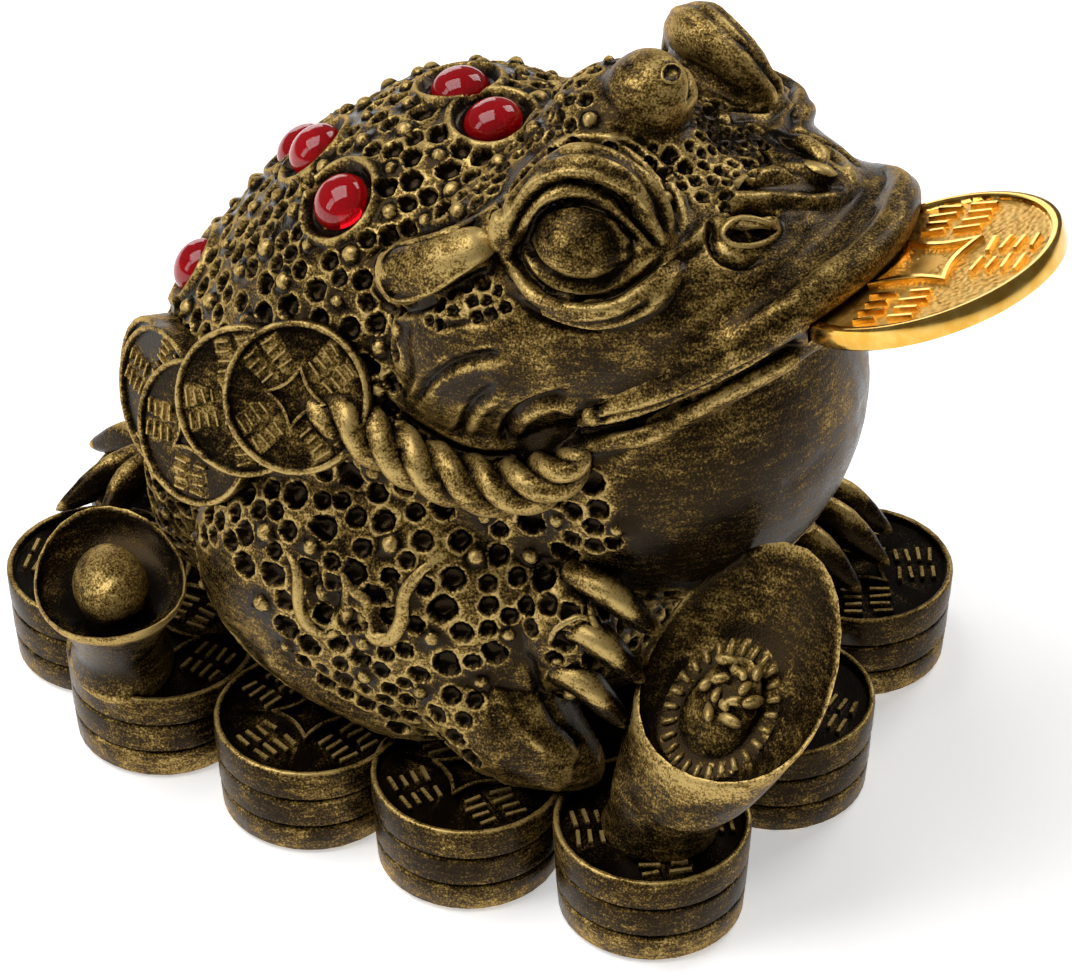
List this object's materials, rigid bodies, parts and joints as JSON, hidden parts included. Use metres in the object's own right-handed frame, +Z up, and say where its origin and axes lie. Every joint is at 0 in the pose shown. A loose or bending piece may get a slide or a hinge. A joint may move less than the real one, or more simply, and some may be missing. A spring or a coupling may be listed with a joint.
{
  "type": "money toad figure",
  "caption": "Cast figure of a seated toad on a bed of coin stacks, with ingots, hung coin strings, glass gems set in its back and a loose gilt coin held in its mouth.",
  "frame": {"origin": "middle of the underside of the bed of coins, on the toad's middle plane", "axes": "+Z up, the toad faces -Y, its left side is +X"},
  "size_m": [0.0995, 0.1506, 0.1121],
  "materials": {
    "resin": "stone-filled resin, dark brown-black in the hollows, dry brushed with old gold on the high places, varnished",
    "gilt": "gilt, polished rim and side, pebbled field",
    "red_glass": "clear red glass, polished domes"
  },
  "bodies": {
    "root": {"toad_casting": "resin", "mouth_coin": "gilt", "gem_1": "red_glass", "gem_2": "red_glass", "gem_3": "red_glass", "gem_4": "red_glass", "gem_5": "red_glass", "gem_6": "red_glass", "gem_7": "red_glass"}
  },
  "joints": []
}
